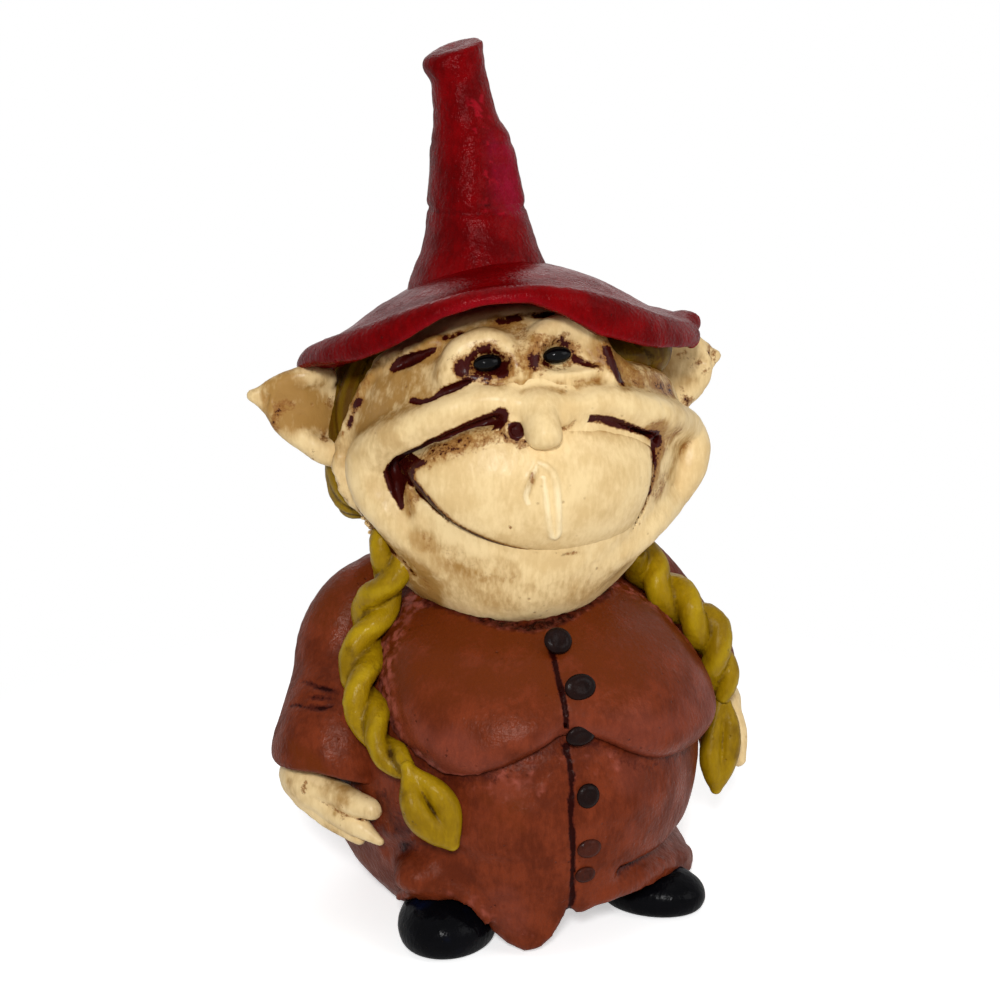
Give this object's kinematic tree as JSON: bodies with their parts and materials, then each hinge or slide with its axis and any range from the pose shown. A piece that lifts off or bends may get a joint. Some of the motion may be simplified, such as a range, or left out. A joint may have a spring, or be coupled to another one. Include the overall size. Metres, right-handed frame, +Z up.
{
  "type": "goblin woman figurine",
  "caption": "Standing painted goblin woman figurine with a pointed brimmed hat, pointed ears, long twisted braids, wide grin and buttoned coat.",
  "frame": {"origin": "middle of the flat underside of the coat, on the ground", "axes": "+Z up through the hat, -Y out of the figure's face, +X to the figure's left"},
  "size_m": [0.1168, 0.0942, 0.1972],
  "materials": {
    "hat_red": "deep red gloss paint on cast resin",
    "skin_cream": "cream satin paint with a dark brown wash in the folds",
    "hair_olive": "olive brown paint",
    "braid_yellow": "mustard yellow satin paint",
    "coat_brick": "brick red satin paint with a darker wash",
    "shoe_black": "black gloss paint",
    "button_dark": "brown-black gloss paint"
  },
  "bodies": {
    "root": {"hat_crown": "hat_red", "hat_brim": "hat_red", "hair": "hair_olive", "face": "skin_cream", "muzzle": "skin_cream", "nose": "skin_cream", "left_eye": "shoe_black", "right_eye": "shoe_black", "left_ear": "skin_cream", "right_ear": "skin_cream", "left_braid": "braid_yellow", "right_braid": "braid_yellow", "left_braid_tuft": "braid_yellow", "right_braid_tuft": "braid_yellow", "coat": "coat_brick", "bust": "coat_brick", "left_sleeve": "coat_brick", "right_sleeve": "coat_brick", "left_hand": "skin_cream", "right_hand": "skin_cream", "left_shoe": "shoe_black", "right_shoe": "shoe_black", "button_1": "button_dark", "button_2": "button_dark", "button_3": "button_dark", "button_4": "button_dark", "button_5": "button_dark", "button_6": "button_dark"}
  },
  "joints": []
}
